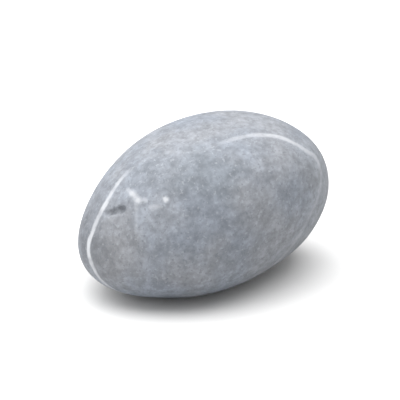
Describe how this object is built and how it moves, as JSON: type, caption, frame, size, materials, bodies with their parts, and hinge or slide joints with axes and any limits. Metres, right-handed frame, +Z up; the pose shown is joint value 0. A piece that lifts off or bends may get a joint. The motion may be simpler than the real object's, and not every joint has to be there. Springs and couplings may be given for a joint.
{
  "type": "river pebble",
  "caption": "Smooth rounded grey river pebble, egg-shaped, with a thin white vein round it and a small dark nick beside the vein. It lies on a small flat of its underside.",
  "frame": {"origin": "middle of the pebble's bounding box in X and Y, on the surface it lies on (the flat of its underside)", "axes": "+Z up as it lies at rest; +X along its long axis seen from above, towards its raised end; +Y to its back, away from the side the picture shows"},
  "size_m": [0.0704, 0.05, 0.0428],
  "materials": {
    "stone": "matte, river-worn, blue-grey with a thin white vein"
  },
  "bodies": {
    "root": {"pebble": "stone"}
  },
  "joints": []
}
